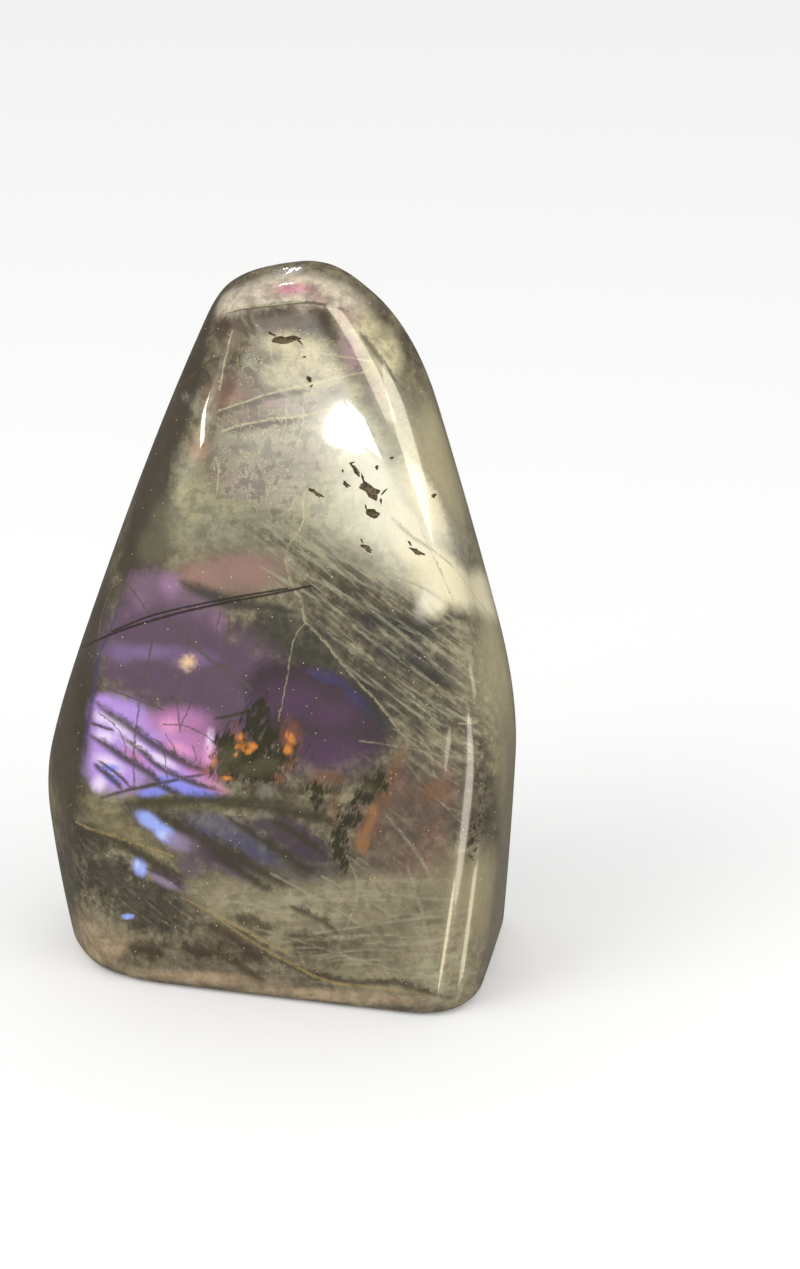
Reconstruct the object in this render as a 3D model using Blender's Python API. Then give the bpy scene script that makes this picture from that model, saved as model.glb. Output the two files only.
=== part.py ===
# A free-form of polished labradorite: one heavy stone on a flat lapped base, broad and nearly
# upright in its lower half, tapering to a blunt top that slants down to the left.
# The stone is the space inside a set of very slightly crowned faces, rounded into each other.
# Tables are in millimetres and degrees; the model is in metres, with +Z up and the front at -Y.
import math
import random

import bmesh
import bpy
import numpy as np
from mathutils import Matrix, Vector

MM = 0.001

# Each lapped face: the way it looks (0 is the front, 90 the right side, 180 the back), how far
# it leans back from upright (below zero it overhangs), the point where it is touched by a flat
# plate, the radius of its crown, and how wide the rounding is where it meets its neighbours.
FACES = {
    "front_low": (0, 4.5, (3.0, -16.3, 30.0), 1500, 4),
    "front_up": (3, 21, (4.0, -8.6, 80.0), 1200, 6),
    "right_low": (95, -5, (37.5, -2.0, 30.0), 1500, 3),
    "right_mid": (90, 18, (28.7, 2.0, 78.0), 1200, 4),
    "right_up": (55, 35, (21.6, 1.0, 93.5), 500, 4),
    "right_edge": (52, -1, (34.6, -15.6, 34.0), 600, 4),
    "left_up": (-50, 23, (-25.6, -5.0, 68.0), 900, 3),
    "left_mid": (-50, 6, (-38.6, -6.8, 32.0), 500, 3),
    "left_under": (-56, -13, (-35.0, -9.8, 7.0), 800, 9),
    "left_rim": (-85, 18.5, (-28.0, 2.0, 70.0), 2000, 3),
    "left_foot": (-100, -11, (-39.4, 0.0, 14.0), 900, 5),
    "back_left": (-130, 9, (-28.0, 16.0, 50.0), 700, 6),
    "cap": (-14, 64, (2.0, 7.5, 113.6), 150, 2.5),
    "cap_left": (-64, 58, (-9.0, 6.0, 111.4), 150, 3),
    "shoulder": (75, 48, (11.9, 8.0, 110.5), 150, 4),
    "back_up": (180, 16, (0.0, 21.5, 90.0), 600, 5),
    "back": (180, 3, (0.0, 23.5, 40.0), 900, 6),
    "back_right": (130, 9, (31.0, 17.0, 50.0), 900, 6),
}
BASE_ROUNDING = 2.5

HEART = (0.0, 2.0, 50.0)     # a point well inside, from which every part of the skin is in sight
CREST = (1.5, 8.5, 115.0)    # the way to the top, where the skin's columns meet
MIDDLE = (-0.85, 3.3)        # the middle of the stone's outline seen from above
FARTHEST = 150.0             # longer than any line from the heart to the skin
COLUMNS = 84                 # upright lines of points round the skin
RINGS = 48                   # level lines of points, from the base's rim to the crest
RING_GATHER = 0.75           # how much closer the rings are at the rim and the crest
HALF_WIDTH = 39.0            # the oval that spaces the columns evenly round the stone
HALF_DEPTH = 21.0
HALVINGS = 40                # steps of the search for the skin along a line

# The deepest pits left in the front by plucked grains: where they are (across, up), how long
# and wide, how far turned from level, and how deep.
PITS = {
    "long_pit": (0.8, 104.5, 5.6, 1.7, 14, 0.8),
    "round_pit": (5.2, 99.1, 1.5, 1.2, -25, 0.6),
    "zigzag_pit": (13.8, 86.4, 3.0, 0.9, -50, 0.6),
    "great_pit": (16.6, 83.6, 5.4, 2.4, -31, 1.0),
    "side_pit": (12.6, 84.2, 1.9, 1.0, -26, 0.5),
    "slash_pit": (8.0, 82.6, 4.2, 0.9, -26, 0.5),
    "wedge_pit": (17.2, 80.1, 3.8, 2.0, -4, 0.9),
    "brown_pit": (24.6, 75.0, 3.1, 1.2, -24, 0.6),
    "low_pit": (16.7, 74.9, 2.8, 1.1, -24, 0.5),
}
PIT_CORNERS = 9
PIT_FLOOR = 0.6              # the floor's size as a share of the mouth's
PIT_RISE = 0.5               # how far a pit's cutter stands out of the face
PIT_SEED = 11

STONE_COLOUR = (0.16, 0.15, 0.11, 1.0)
STONE_ROUGHNESS = 0.12


def clear_scene():
    for old in list(bpy.data.objects):
        bpy.data.objects.remove(old, do_unlink=True)


def facing(turn, lean):
    turn, lean = math.radians(turn), math.radians(lean)
    level = math.cos(lean)
    return np.array((math.sin(turn) * level, -math.cos(turn) * level, math.sin(lean)))


def rounded_max(a, b, width):
    # The larger of a and b, rounded off where they differ by less than the width.
    near = np.maximum(width - np.abs(a - b), 0.0) / width
    return np.maximum(a, b) + near * near * width / 4


def outside_by(points):
    # How far each point lies outside the stone, below zero for a point inside.
    result = None
    for turn, lean, touch, crown, width in FACES.values():
        normal = facing(turn, lean)
        away = points - np.array(touch)
        height = away @ normal
        across = away - height[:, None] * normal
        height = height + (across ** 2).sum(axis=1) / (2 * crown)
        result = height if result is None else rounded_max(result, height, width)
    return rounded_max(result, -points[:, 2], BASE_ROUNDING)


def cross_skin(start, ways):
    # The point on each line from a start inside the stone where the line leaves it.
    inner = np.zeros(len(ways))
    outer = np.full(len(ways), FARTHEST)
    for _ in range(HALVINGS):
        half = (inner + outer) / 2
        beyond = outside_by(start + ways * half[:, None]) > 0
        outer = np.where(beyond, half, outer)
        inner = np.where(beyond, inner, half)
    return start + ways * inner[:, None]


def base_rim(turns):
    # Where the flat of the base ends, on each line from the middle of the base.
    level = np.stack((HALF_WIDTH * np.cos(turns), HALF_DEPTH * np.sin(turns), 0 * turns), axis=1)
    level /= np.linalg.norm(level, axis=1)[:, None]
    return cross_skin(np.zeros(3), level)


def skin_points():
    # Each column starts at the base's rim and follows an arc of the compass, as seen from the
    # heart, up to the crest. The last point is the crest's own.
    turns = 2 * math.pi * np.arange(COLUMNS) / COLUMNS
    rim = base_rim(turns)
    heart = np.array(HEART)
    low = rim - heart
    low /= np.linalg.norm(low, axis=1)[:, None]
    high = np.array(CREST) - heart
    high /= np.linalg.norm(high)
    arc = np.arccos(low @ high)[:, None]
    points = [rim]
    for ring in range(1, RINGS):
        share = ring / RINGS
        share -= RING_GATHER * math.sin(2 * math.pi * share) / (2 * math.pi)
        ways = np.sin((1 - share) * arc) * low + np.sin(share * arc) * high
        ways /= np.linalg.norm(ways, axis=1)[:, None]
        points.append(cross_skin(heart, ways))
    points.append(cross_skin(heart, high[None]))
    return np.vstack(points)


def skin_faces():
    # The flat base in one face, quads up the sides, and triangles round the crest.
    faces = [list(reversed(range(COLUMNS)))]
    for ring in range(RINGS - 1):
        low, high = ring * COLUMNS, (ring + 1) * COLUMNS
        for column in range(COLUMNS):
            after = (column + 1) % COLUMNS
            faces.append([low + column, low + after, high + after, high + column])
    last, crest = (RINGS - 1) * COLUMNS, RINGS * COLUMNS
    for column in range(COLUMNS):
        faces.append([last + column, last + (column + 1) % COLUMNS, crest])
    return faces


def to_model(points):
    return (np.asarray(points) - np.array((*MIDDLE, 0.0))) * MM


def stone_material():
    material = bpy.data.materials.new("polished_labradorite")
    material.use_nodes = True
    shader = material.node_tree.nodes["Principled BSDF"]
    shader.inputs["Base Color"].default_value = STONE_COLOUR
    shader.inputs["Roughness"].default_value = STONE_ROUGHNESS
    shader.inputs["Metallic"].default_value = 0.0
    material.diffuse_color = STONE_COLOUR
    return material


def make_stone():
    mesh = bpy.data.meshes.new("labradorite")
    points = to_model(skin_points())
    mesh.from_pydata(points.tolist(), [], skin_faces())
    mesh.shade_smooth()
    mesh.set_sharp_from_angle(angle=math.radians(35))
    stone = bpy.data.objects.new("labradorite", mesh)
    stone.data.materials.append(stone_material())
    bpy.context.scene.collection.objects.link(stone)
    return stone


def face_point(across, up):
    # The point on the front of the stone at this place, and the way the skin looks there.
    point = cross_skin(np.array((across, 8.0, up)), np.array([(0.0, -1.0, 0.0)]))[0]
    step = 0.1
    around = point + np.vstack((np.eye(3), -np.eye(3))) * step
    values = outside_by(around)
    normal = values[:3] - values[3:]
    return point, normal / np.linalg.norm(normal)


def add_pit_cutter(cutter, draw, across, up, length, width, turn, depth):
    # A shard with a ragged outline, wider at the mouth than at its floor.
    point, normal = face_point(across, up)
    out = Vector(normal)
    side = Vector((0, 0, 1)).cross(out).normalized()
    frame = Matrix((side, out.cross(side), out)).transposed().to_4x4()
    frame = Matrix.Translation(Vector(to_model(point))) @ frame
    frame = frame @ Matrix.Rotation(math.radians(turn), 4, "Z")
    mouth, floor = [], []
    for number in range(PIT_CORNERS):
        angle = 2 * math.pi * (number + draw.uniform(-0.3, 0.3)) / PIT_CORNERS
        share = draw.uniform(0.65, 1.15)
        x = math.cos(angle) * share * length / 2 * MM
        y = math.sin(angle) * share * width / 2 * MM
        mouth.append(cutter.verts.new(frame @ Vector((x, y, PIT_RISE * MM))))
        deep = -depth * draw.uniform(0.8, 1.0) * MM
        floor.append(cutter.verts.new(frame @ Vector((x * PIT_FLOOR, y * PIT_FLOOR, deep))))
    top = cutter.verts.new(frame @ Vector((0, 0, PIT_RISE * MM)))
    bottom = cutter.verts.new(frame @ Vector((0, 0, -depth * MM)))
    for number in range(PIT_CORNERS):
        after = (number + 1) % PIT_CORNERS
        cutter.faces.new((mouth[number], mouth[after], top))
        cutter.faces.new((floor[after], floor[number], bottom))
        cutter.faces.new((floor[number], mouth[after], mouth[number]))
        cutter.faces.new((floor[number], floor[after], mouth[after]))


def cut_pits(stone):
    draw = random.Random(PIT_SEED)
    cutter = bmesh.new()
    for pit in PITS.values():
        add_pit_cutter(cutter, draw, *pit)
    bmesh.ops.recalc_face_normals(cutter, faces=cutter.faces)
    mesh = bpy.data.meshes.new("pit_cutter")
    cutter.to_mesh(mesh)
    cutter.free()
    tool = bpy.data.objects.new("pit_cutter", mesh)
    bpy.context.scene.collection.objects.link(tool)
    tool.hide_render = True
    tool.display_type = "WIRE"
    cut = stone.modifiers.new("pits", "BOOLEAN")
    cut.operation = "DIFFERENCE"
    cut.solver = "EXACT"
    cut.object = tool


clear_scene()
cut_pits(make_stone())
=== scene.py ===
import math
import random

import bmesh
import bpy
import numpy as np
from mathutils import Matrix, Vector


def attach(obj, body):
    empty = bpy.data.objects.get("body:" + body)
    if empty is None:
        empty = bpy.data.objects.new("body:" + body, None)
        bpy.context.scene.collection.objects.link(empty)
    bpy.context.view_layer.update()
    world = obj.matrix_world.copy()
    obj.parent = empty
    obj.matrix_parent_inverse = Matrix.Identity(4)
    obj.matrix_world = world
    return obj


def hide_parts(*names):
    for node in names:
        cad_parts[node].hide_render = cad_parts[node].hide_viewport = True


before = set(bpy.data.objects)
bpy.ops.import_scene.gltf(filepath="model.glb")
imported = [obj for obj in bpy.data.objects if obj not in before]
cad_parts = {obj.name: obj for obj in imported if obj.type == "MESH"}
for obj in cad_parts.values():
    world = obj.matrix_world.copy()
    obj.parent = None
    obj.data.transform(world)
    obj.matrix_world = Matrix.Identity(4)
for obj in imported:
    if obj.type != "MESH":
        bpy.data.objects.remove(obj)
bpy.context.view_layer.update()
print("stone: frame loaded")

mm = 0.001
middle = np.array((-0.85, 3.3, 0.0))     # the model's origin, in the stone's own millimetres


# the stone's shape, in millimetres: crowned faces rounded into each other
stoneShape = {
    # looks toward, leans back, touch point, crown radius, rounding where it meets the others
    "faces": {
        "frontLow": (0, 4.5, (3, -16.3, 30), 1500, 4),
        "frontUp": (3, 21, (4, -8.6, 80), 1200, 6),
        "rightLow": (95, -5, (37.5, -2, 30), 1500, 3),
        "rightMid": (90, 18, (28.7, 2, 78), 1200, 4),
        "rightUp": (55, 35, (21.6, 1, 93.5), 500, 4),
        "rightEdge": (52, -1, (34.6, -15.6, 34), 600, 4),
        "leftUp": (-50, 23, (-25.6, -5, 68), 900, 3),
        "leftMid": (-50, 6, (-38.6, -6.8, 32), 500, 3),
        "leftUnder": (-56, -13, (-35, -9.8, 7), 800, 9),
        "leftRim": (-85, 18.5, (-28, 2, 70), 2000, 3),
        "leftFoot": (-100, -11, (-39.4, 0, 14), 900, 5),
        "backLeft": (-130, 9, (-28, 16, 50), 700, 6),
        "cap": (-14, 64, (2, 7.5, 113.6), 150, 2.5),
        "capLeft": (-64, 58, (-9, 6, 111.4), 150, 3),
        "shoulder": (75, 48, (11.9, 8, 110.5), 150, 4),
        "backUp": (180, 16, (0, 21.5, 90), 600, 5),
        "back": (180, 3, (0, 23.5, 40), 900, 6),
        "backRight": (130, 9, (31, 17, 50), 900, 6),
    },
    "baseRounding": 2.5,
    "heart": (0.0, 2.0, 50.0),
    "crest": (1.5, 8.5, 115.0),
    "farthest": 150.0,
    "mesh": (320, 280),      # columns and rings of points
    "quickMesh": (160, 140),
    "ringGather": 0.6,
    "ovalHalfWidth": 39.0,
    "ovalHalfDepth": 21.0,
    "halvings": 34,
    "sharpAngle": 35,
}


def facing(turn, lean):
    turn, lean = math.radians(turn), math.radians(lean)
    level = math.cos(lean)
    return np.array((math.sin(turn) * level, -math.cos(turn) * level, math.sin(lean)))


def roundedMax(a, b, width):
    near = np.maximum(width - np.abs(a - b), 0.0) / width
    return np.maximum(a, b) + near * near * width / 4


def outsideBy(points):
    # how far each point lies outside the stone, below zero inside it
    result = None
    for turn, lean, touch, crown, width in stoneShape["faces"].values():
        normal = facing(turn, lean)
        away = points - np.array(touch)
        height = away @ normal
        across = away - height[:, None] * normal
        height = height + (across ** 2).sum(axis=1) / (2 * crown)
        result = height if result is None else roundedMax(result, height, width)
    return roundedMax(result, -points[:, 2], stoneShape["baseRounding"])


def crossSkin(start, ways):
    # the point on each line from a start inside the stone where the line leaves it
    inner = np.zeros(len(ways))
    outer = np.full(len(ways), stoneShape["farthest"])
    for _ in range(stoneShape["halvings"]):
        half = (inner + outer) / 2
        beyond = outsideBy(start + ways * half[:, None]) > 0
        outer = np.where(beyond, half, outer)
        inner = np.where(beyond, inner, half)
    return start + ways * inner[:, None]


def skinNormal(point):
    step = 0.1
    values = outsideBy(point + np.vstack((np.eye(3), -np.eye(3))) * step)
    normal = values[:3] - values[3:]
    return normal / np.linalg.norm(normal)


def frontPoint(across, up):
    # the point of the skin straight in front of this place
    return crossSkin(np.array((across, 4.0, up)), np.array([(0.0, -1.0, 0.0)]))[0]


def nearestSkin(place):
    # the point of the skin on the line from the heart through this place
    heart = np.array(stoneShape["heart"])
    way = np.array(place, float) - heart
    return crossSkin(heart, way[None] / np.linalg.norm(way))[0]


def toModel(points):
    return (np.asarray(points, float) - middle) * mm


def turnedFrame(out, turn):
    # side, up and out, turned about the way out
    side = Vector((0, 0, 1)).cross(out).normalized()
    upright = Matrix((side, out.cross(side), out)).transposed()
    return upright @ Matrix.Rotation(math.radians(turn), 3, "Z")


def frameAt(point, turn):
    return turnedFrame(Vector(skinNormal(point)), turn)


def linked(name, data):
    # a new object in the scene
    made = bpy.data.objects.new(name, data)
    bpy.context.scene.collection.objects.link(made)
    return made


def toLengthOne(ways):
    return ways / np.linalg.norm(ways, axis=1)[:, None]


def skinPoints(columns, rings):
    turns = 2 * math.pi * np.arange(columns) / columns
    oval = stoneShape["ovalHalfWidth"], stoneShape["ovalHalfDepth"]
    level = np.stack((oval[0] * np.cos(turns), oval[1] * np.sin(turns), 0 * turns), axis=1)
    rim = crossSkin(np.zeros(3), toLengthOne(level))
    heart = np.array(stoneShape["heart"])
    low = toLengthOne(rim - heart)
    high = np.array(stoneShape["crest"]) - heart
    high /= np.linalg.norm(high)
    arc = np.arccos(low @ high)[:, None]
    points = [rim]
    for ring in range(1, rings):
        share = ring / rings
        share -= stoneShape["ringGather"] * math.sin(2 * math.pi * share) / (2 * math.pi)
        ways = np.sin((1 - share) * arc) * low + np.sin(share * arc) * high
        points.append(crossSkin(heart, toLengthOne(ways)))
    points.append(crossSkin(heart, high[None]))
    return np.vstack(points)


def skinFaces(columns, rings):
    faces = [list(reversed(range(columns)))]
    for ring in range(rings - 1):
        low, high = ring * columns, (ring + 1) * columns
        for column in range(columns):
            after = (column + 1) % columns
            faces.append([low + column, low + after, high + after, high + column])
    last, crest = (rings - 1) * columns, rings * columns
    for column in range(columns):
        faces.append([last + column, last + (column + 1) % columns, crest])
    return faces


# the camera, at the photograph's angle
cameraView = {
    "turn": 17,            # degrees to the right of the front
    "rise": 20,            # degrees above level
    "distance": 550,       # mm from the target
    "target": (0.0, 0.0, 58.0),
    "targetPixel": (282, 621),
    "imageSize": (800, 1269),
    "focalPixels": 3437,
    "sensor": 36.0,
}


def cameraFrame():
    # where the camera is and its right, up and back, in the stone's own millimetres
    turn, rise = math.radians(cameraView["turn"]), math.radians(cameraView["rise"])
    level = math.cos(rise)
    back = Vector((math.sin(turn) * level, -math.cos(turn) * level, math.sin(rise)))
    place = Vector(cameraView["target"]) + back * cameraView["distance"]
    wide, high = cameraView["imageSize"]
    pixelAcross, pixelDown = cameraView["targetPixel"]
    yaw = math.atan((pixelAcross - wide / 2) / cameraView["focalPixels"])
    pitch = math.atan(-(pixelDown - high / 2) / cameraView["focalPixels"])
    right = (-back).cross(Vector((0, 0, 1))).normalized()
    level = (-back) * math.cos(yaw) - right * math.sin(yaw)
    right = level.cross(Vector((0, 0, 1))).normalized()
    up = right.cross(level)
    forward = level * math.cos(pitch) - up * math.sin(pitch)
    return place, right, right.cross(forward), -forward


def makeCamera():
    place, right, up, back = cameraFrame()
    data = bpy.data.cameras.new("photoCamera")
    camera = linked("photoCamera", data)
    camera.matrix_world = Matrix((right, up, back)).transposed().to_4x4()
    camera.location = Vector(toModel(place))
    data.sensor_width = cameraView["sensor"]
    data.lens = cameraView["sensor"] * cameraView["focalPixels"] / max(cameraView["imageSize"])
    data.clip_start, data.clip_end = 0.01, 20.0
    bpy.context.scene.camera = camera


makeCamera()
print("stone: camera placed")


def mirrorWay(place):
    # the point of the skin nearest this place, and the way the camera sees off the polish there
    point = Vector(nearestSkin(place))
    normal = Vector(skinNormal(np.array(point)))
    toCamera = (cameraFrame()[0] - point).normalized()
    return point, 2 * normal.dot(toCamera) * normal - toCamera


# lamps seen only in the polish, each placed where the skin mirrors it into the camera
lamps = {
    # seen in the skin at, distance, width, height, roll, brightness, colour
    "roundLamp": ((12.8, -3.4, 92.2), 1000, 30, 38, 0, 190, (1.0, 0.96, 0.86)),
    "roundSide": ((14.9, -3.3, 92.0), 1000, 190, 36, 26, 36, (1.0, 0.96, 0.88)),
    "ridgeBox": ((12.0, 2.6, 104.3), 700, 310, 160, 0, 6.4, (1.0, 0.93, 0.72)),
    "ridgeLow": ((22.1, -2.8, 88.5), 700, 480, 180, 0, 6.6, (1.0, 0.94, 0.72)),
    "edgeLamp": ((-11.2, -4.5, 91.0), 600, 270, 14, 0, 30, (1.0, 0.88, 0.70)),
    "streakTall": ((34.6, -13.9, 43.2), 400, 140, 165, 0, 5, (1.0, 0.88, 0.76)),
    "streakTop": ((34.4, -11.9, 56.0), 400, 110, 70, 0, 3, (1.0, 0.88, 0.76)),
    "streakTail": ((31.6, -16.4, 14.3), 400, 40, 50, 0, 9, (1.0, 0.88, 0.60)),
    "streakComb": ((31.2, -14.7, 45.1), 400, 40, 44, 0, 5, (1.0, 0.86, 0.66)),
    "cornerLamp": ((34.5, -14.2, 15.4), 400, 70, 50, 0, 5, (1.0, 0.90, 0.66)),
    "capLeft": ((-1.4, 8.9, 113.0), 700, 16, 8, 0, 120, (1.0, 0.94, 0.90)),
    "capMiddle": ((-0.2, 8.6, 113.1), 700, 16, 8, 0, 160, (1.0, 0.94, 0.90)),
    "capRight": ((0.9, 8.7, 113.4), 700, 16, 8, 0, 120, (1.0, 0.94, 0.90)),
    "capDot": ((-0.1, 5.6, 111.6), 600, 14, 40, 0, 90, (1.0, 0.94, 0.76)),
}


def addLamp(name, point, way, distance, width, height, roll, brightness, colour):
    light = bpy.data.lights.new(name, "AREA")
    light.shape = "ELLIPSE" if width < 1.4 * height and height < 1.4 * width else "RECTANGLE"
    light.size, light.size_y = width * mm, height * mm
    area = width * height * mm * mm * (math.pi / 4 if light.shape == "ELLIPSE" else 1.0)
    light.energy = brightness * math.pi * area
    light.color = colour
    lamp = linked(name, light)
    lamp.matrix_world = turnedFrame(Vector(way).normalized(), roll).to_4x4()
    lamp.location = Vector(toModel(Vector(point) + Vector(way) * distance))
    return lamp


for name, (seenAt, *settings) in lamps.items():
    point, way = mirrorWay(seenAt)
    lamp = addLamp(name, point, way, *settings)
    lamp.visible_diffuse = False

# soft lights that only light the stone's own colour and the floor
softLights = {
    # looks down from: turn, rise, distance, width, height, roll, brightness, colour
    "softKey": (-38, 42, 900, 600, 600, 0, 2.4, (1.0, 0.98, 0.95)),
    "softFill": (70, 30, 1000, 900, 700, 0, 1.0, (1.0, 0.98, 0.94)),
}

for name, (turn, rise, *settings) in softLights.items():
    lamp = addLamp(name, (0, 0, 50), facing(turn, rise), *settings)
    lamp.visible_glossy = False
print("stone: lamps placed")


# the studio: pale floor and surroundings, dark only in the stone's reflections
studio = {
    "floorReach": 4.0,
    "floorTone": (0.93, 0.93, 0.93),
    "floorGlow": 0.13,
    "skyTone": (1.0, 1.0, 1.0),
    "skyStrength": 0.78,
    "mirroredTone": (0.13, 0.12, 0.10),
    "floorRoughness": 0.9,
}


def newNode(beside, kind):
    # in the same tree as another node, or as a node's socket
    return beside.id_data.nodes.new("ShaderNode" + kind)


def newMaterial(name):
    material = bpy.data.materials.new(name)
    material.use_nodes = True
    return material, material.node_tree.nodes["Principled BSDF"]


def setValues(node, values):
    # numbers and colours for a node's inputs
    for name, value in values.items():
        node.inputs[name].default_value = value


def makeFloor():
    mesh = bpy.data.meshes.new("paleFloor")
    reach = studio["floorReach"]
    corners = [(-reach, -reach, 0), (reach, -reach, 0), (reach, reach, 0), (-reach, reach, 0)]
    mesh.from_pydata(corners, [], [(0, 1, 2, 3)])
    floor = linked("paleFloor", mesh)
    material, shader = newMaterial("paleFloor")
    setValues(shader, {
        "Base Color": (*studio["floorTone"], 1),
        "Roughness": studio["floorRoughness"],
        "Emission Color": (*studio["floorTone"], 1),
        "Emission Strength": studio["floorGlow"],
        "Specular IOR Level": 0.0,
    })
    mesh.materials.append(material)
    floor.visible_glossy = False
    floor.visible_shadow = False


def makeSky():
    world = bpy.data.worlds.new("studio")
    bpy.context.scene.world = world
    world.use_nodes = True
    tree = world.node_tree
    tree.nodes.clear()
    sky = tree.nodes.new("ShaderNodeBackground")
    setValues(sky, {"Color": (*studio["skyTone"], 1), "Strength": studio["skyStrength"]})
    mirrored = tree.nodes.new("ShaderNodeBackground")
    setValues(mirrored, {"Color": (*studio["mirroredTone"], 1)})
    path = tree.nodes.new("ShaderNodeLightPath")
    mix = tree.nodes.new("ShaderNodeMixShader")
    out = tree.nodes.new("ShaderNodeOutputWorld")
    tree.links.new(path.outputs["Is Glossy Ray"], mix.inputs[0])
    tree.links.new(sky.outputs[0], mix.inputs[1])
    tree.links.new(mirrored.outputs[0], mix.inputs[2])
    tree.links.new(mix.outputs[0], out.inputs[0])


makeFloor()
makeSky()
scene = bpy.context.scene
scene.view_settings.view_transform = "Standard"
scene.view_settings.look = "None"
print("stone: studio made")


def feed(socket, value):
    if isinstance(value, bpy.types.NodeSocket):
        socket.id_data.links.new(value, socket)
    else:
        socket.default_value = value


def maths(operation, a, b=0.0, c=0.0):
    node = newNode(a, "Math")
    node.operation = operation
    for number, item in enumerate((a, b, c)):
        feed(node.inputs[number], item)
    return node.outputs[0]


def vectorMaths(operation, a, b):
    node = newNode(a, "VectorMath")
    node.operation = operation
    feed(node.inputs[0], a)
    feed(node.inputs[1], b)
    return node.outputs["Value" if operation == "DOT_PRODUCT" else "Vector"]


def ranged(value, fromLow, fromHigh, toLow=0.0, toHigh=1.0):
    # eased from one range to another, and held at its ends
    node = newNode(value, "MapRange")
    node.interpolation_type = "SMOOTHSTEP"
    node.clamp = False       # the easing holds its ends by itself
    for number, item in enumerate((value, fromLow, fromHigh, toLow, toHigh)):
        feed(node.inputs[number], item)
    return node.outputs[0]


def over(share, under, top):
    # one colour over another
    node = newNode(share, "Mix")
    node.data_type = "RGBA"
    feed(node.inputs[0], share)
    feed(node.inputs[6], under)
    feed(node.inputs[7], top)
    return node.outputs[2]


def cloud(where, scale, detail, roughness, distortion=0.0):
    # an uneven field, its grains so many to a millimetre, or to a step of a drawn out place
    node = newNode(where, "TexNoise")
    feed(node.inputs["Vector"], where)
    drawn = where.node.bl_idname == "ShaderNodeMapping"
    scale = scale if drawn else scale / mm
    setValues(node, {"Scale": scale, "Detail": detail, "Roughness": roughness, "Distortion": distortion})
    return node.outputs[0]


def tone(red, green, blue):
    # a colour as the eye names it, 0 to 255, in the shader's own scale
    levels = []
    for value in (red, green, blue):
        value /= 255
        levels.append(value / 12.92 if value <= 0.04045 else ((value + 0.055) / 1.055) ** 2.4)
    return (*levels, 1.0)


fibreWidth = 1.6     # how wide a drawn out cloud's fibres are from front to back, in mm


def drawnOut(where, turn, stretch):
    # the place in millimetres, squeezed along one way of the front, so that a cloud there is
    # drawn out into fibres
    node = newNode(where, "Mapping")
    node.vector_type = "TEXTURE"
    feed(node.inputs["Vector"], where)
    scale = (stretch * mm, fibreWidth * mm, mm)
    setValues(node, {"Rotation": (0.0, -math.radians(turn), 0.0), "Scale": scale})
    return node.outputs[0]


def spotCover(fuzz, name, soft, fray):
    # the field holds how far out of the family's nearest spot each place is
    field = newNode(fuzz, "Attribute")
    field.attribute_name = name
    reach = maths("MULTIPLY_ADD", fuzz, fray, field.outputs["Fac"])
    return ranged(reach, 1 + soft, 1 - soft)


farthestSpot = 4.0   # beyond this many sizes of a spot, how far away it is no longer matters


def zoneCover(fuzz, name):
    return spotCover(fuzz, name, *zones[name][:2])


def stonePlaces(mesh):
    # where the mesh's points are, in the stone's own millimetres
    places = np.zeros(len(mesh.vertices) * 3)
    mesh.vertices.foreach_get("co", places)
    return places.reshape(-1, 3) / mm + middle


def addSpotField(mesh, name, depth, spots):
    places = stonePlaces(mesh)
    nearest = np.full(len(places), farthestSpot)
    for across, up, halfLength, halfHeight, turn in spots:
        point = frontPoint(across, up)
        size = np.array((halfLength, halfHeight, depth))
        local = (places - point) @ np.array(frameAt(point, turn)) / size
        nearest = np.minimum(nearest, np.linalg.norm(local, axis=1))
    held = mesh.attributes.new(name, "FLOAT", "POINT")
    held.data.foreach_set("value", nearest.astype(np.float32))


def addPlaceField(mesh):
    held = mesh.attributes.new("stonePlace", "FLOAT_VECTOR", "POINT")
    held.data.foreach_set("vector", stonePlaces(mesh).astype(np.float32).ravel())


lineShape = {
    "taperFrom": 0.24,      # lines with a greater half width than this thin out at their ends
    "taper": 1.6,           # by this many half widths
    "taperPower": 6.0,      # the greater, the nearer to the ends it begins
    "leap": 0.02,           # mm past a line's end where its curve has leapt far away
    "far": 400.0,
}


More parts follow.
